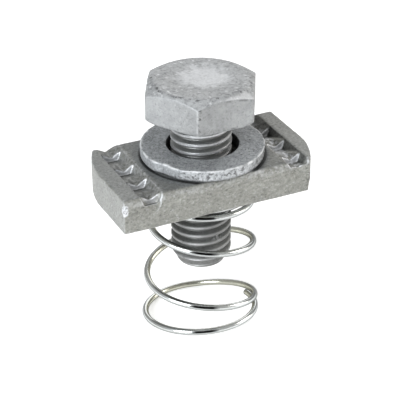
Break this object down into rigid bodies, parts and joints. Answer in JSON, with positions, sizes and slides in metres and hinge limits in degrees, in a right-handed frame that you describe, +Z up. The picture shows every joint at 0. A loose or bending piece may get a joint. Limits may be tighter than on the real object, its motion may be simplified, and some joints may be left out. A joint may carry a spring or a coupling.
{
  "type": "channel anchor nut",
  "caption": "Toothed block nut for slotted metal channel, with a hex bolt and flat washer run into it from above and a coil spring below that holds it up inside the channel.",
  "frame": {"origin": "on the bolt's axis, at the floor under the spring's foot", "axes": "+Z up along the bolt's axis to its head, +X along the nut's length from the left groove to the right groove, +Y along the grooves, away from the picture's viewer"},
  "size_m": [0.0352, 0.0202, 0.0446],
  "materials": {
    "galvanised_bolt": "hot-dip galvanised, mottled matt grey",
    "galvanised_washer": "hot-dip galvanised, darker blue-grey with a pale sheared rim",
    "galvanised_nut": "hot-dip galvanised, matt grey, bright at worn tooth edges",
    "bright_zinc_wire": "bright zinc-plated wire, glossy"
  },
  "bodies": {
    "nut": {"channel_nut": "galvanised_nut", "spring": "bright_zinc_wire"},
    "washer": {"flat_washer": "galvanised_washer"},
    "bolt": {"hex_bolt": "galvanised_bolt"}
  },
  "joints": [
    {"name": "bolt_turn", "type": "hinge", "parent": "nut", "child": "washer", "pos_m": [0, 0, 0.0313], "axis": [0, 0, 1], "range_deg": [-1346, 2882]},
    {"name": "bolt_advance", "type": "slide", "parent": "washer", "child": "bolt", "axis": [0, 0, 1], "range_m": [-0.0056, 0.012]}
  ],
  "couplings": [
    {"joint": "bolt_turn", "follows": "bolt_advance", "rad_per_m": 4188.8}
  ]
}
